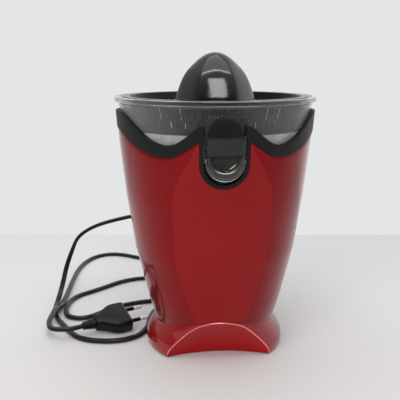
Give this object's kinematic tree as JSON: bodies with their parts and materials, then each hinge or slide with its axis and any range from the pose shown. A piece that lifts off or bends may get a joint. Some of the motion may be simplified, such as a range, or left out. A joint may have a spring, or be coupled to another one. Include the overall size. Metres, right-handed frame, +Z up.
{
  "type": "citrus press",
  "caption": "Electric citrus press: ribbed black cone over a smoked strainer and clear bowl with front spout, on a red vase-shaped stand with mains cord and plug.",
  "frame": {"origin": "on the table, on the spindle's axis", "axes": "+Z up along the spindle, -Y towards the spout"},
  "size_m": [0.2668, 0.3596, 0.2795],
  "materials": {
    "red_shell": "metallic red lacquer, glossy",
    "matte_trim": "fine satin black",
    "cone_black": "polished black",
    "smoked_clear": "smoked, see-through",
    "clear_plastic": "clear, polished",
    "dark_plastic": "moulded black",
    "cord_black": "soft black PVC",
    "rubber": "matt",
    "steel": "bright",
    "brass": "sintered",
    "copper_wire": "enamelled copper winding",
    "nylon": "natural"
  },
  "bodies": {
    "stand": {"front_shell": "red_shell", "rear_shell": "red_shell", "trim_collar": "matte_trim", "drive_deck": "dark_plastic", "foot": "red_shell", "base_plate": "dark_plastic", "rubber_foot_1": "rubber", "rubber_foot_2": "rubber", "rubber_foot_3": "rubber", "rubber_foot_4": "rubber", "base_screw_1": "steel", "base_screw_2": "steel", "base_screw_3": "steel", "base_screw_4": "steel", "gearbox_housing": "dark_plastic", "gearbox_cover": "dark_plastic", "gearbox_screw_1": "steel", "gearbox_screw_2": "steel", "gearbox_screw_3": "steel", "spindle_bush": "brass", "upper_bush": "brass", "lower_bush": "brass", "motor_bracket": "steel", "motor_bolt_1": "steel", "motor_bolt_2": "steel", "stator_core": "steel", "stator_coil": "copper_wire", "idler_axle": "steel", "microswitch": "dark_plastic", "terminal_block": "nylon", "return_spring": "steel", "cord_gland": "cord_black", "mains_cord": "cord_black", "plug_boot": "cord_black", "plug_body": "cord_black", "plug_pin_1": "steel", "plug_pin_2": "steel"},
    "plunger": {"thrust_collar": "dark_plastic"},
    "spindle": {"drive_spindle": "steel"},
    "cone": {"reamer_cone": "cone_black"},
    "strainer": {"strainer": "smoked_clear"},
    "bowl": {"juice_bowl": "clear_plastic"},
    "spout": {"drip_stop_spout": "clear_plastic"},
    "output": {"output_gear": "nylon"},
    "idler": {"idler_gear": "nylon"},
    "rotor": {"rotor_shaft": "steel", "rotor_core": "steel", "motor_pinion": "brass", "cooling_fan": "dark_plastic"},
    "button": {"switch_button": "nylon"}
  },
  "joints": [
    {"name": "press", "type": "slide", "parent": "stand", "child": "plunger", "axis": [0, 0, -1], "range_m": [0, 0.003], "stiffness_N_per_m": 600, "springref_m": -0.005, "deforming": ["return_spring"]},
    {"name": "spindle_spin", "type": "hinge", "parent": "plunger", "child": "spindle", "pos_m": [0, 0, 0.17], "axis": [0, 0, 1], "continuous": true},
    {"name": "cone_lift", "type": "slide", "parent": "spindle", "child": "cone", "axis": [0, 0, 1], "range_m": [0, 0.15]},
    {"name": "strainer_lift", "type": "slide", "parent": "stand", "child": "strainer", "axis": [0, 0, 1], "range_m": [0, 0.105]},
    {"name": "bowl_lift", "type": "slide", "parent": "stand", "child": "bowl", "axis": [0, 0, 1], "range_m": [0, 0.06]},
    {"name": "spout_tilt", "type": "hinge", "parent": "bowl", "child": "spout", "pos_m": [0, -0.0846, 0.1955], "axis": [1, 0, 0], "range_deg": [0, 11]},
    {"name": "rotor_spin", "type": "hinge", "parent": "stand", "child": "rotor", "pos_m": [0, 0.007, 0.1], "axis": [0, 0, 1], "continuous": true},
    {"name": "idler_spin", "type": "hinge", "parent": "stand", "child": "idler", "pos_m": [0.024, 0, 0.13], "axis": [0, 0, 1], "continuous": true},
    {"name": "output_spin", "type": "hinge", "parent": "stand", "child": "output", "pos_m": [0, 0, 0.145], "axis": [0, 0, 1], "continuous": true},
    {"name": "button_press", "type": "slide", "parent": "stand", "child": "button", "axis": [0, 0, -1], "range_m": [0, 0.003]}
  ],
  "couplings": [
    {"joint": "idler_spin", "follows": "rotor_spin", "ratio": -0.25},
    {"joint": "output_spin", "follows": "rotor_spin", "ratio": 0.083333},
    {"joint": "spindle_spin", "follows": "rotor_spin", "ratio": 0.083333},
    {"joint": "strainer_lift", "follows": "cone_lift", "ratio": 0.7},
    {"joint": "bowl_lift", "follows": "cone_lift", "ratio": 0.4},
    {"joint": "button_press", "follows": "press", "ratio": 1}
  ]
}
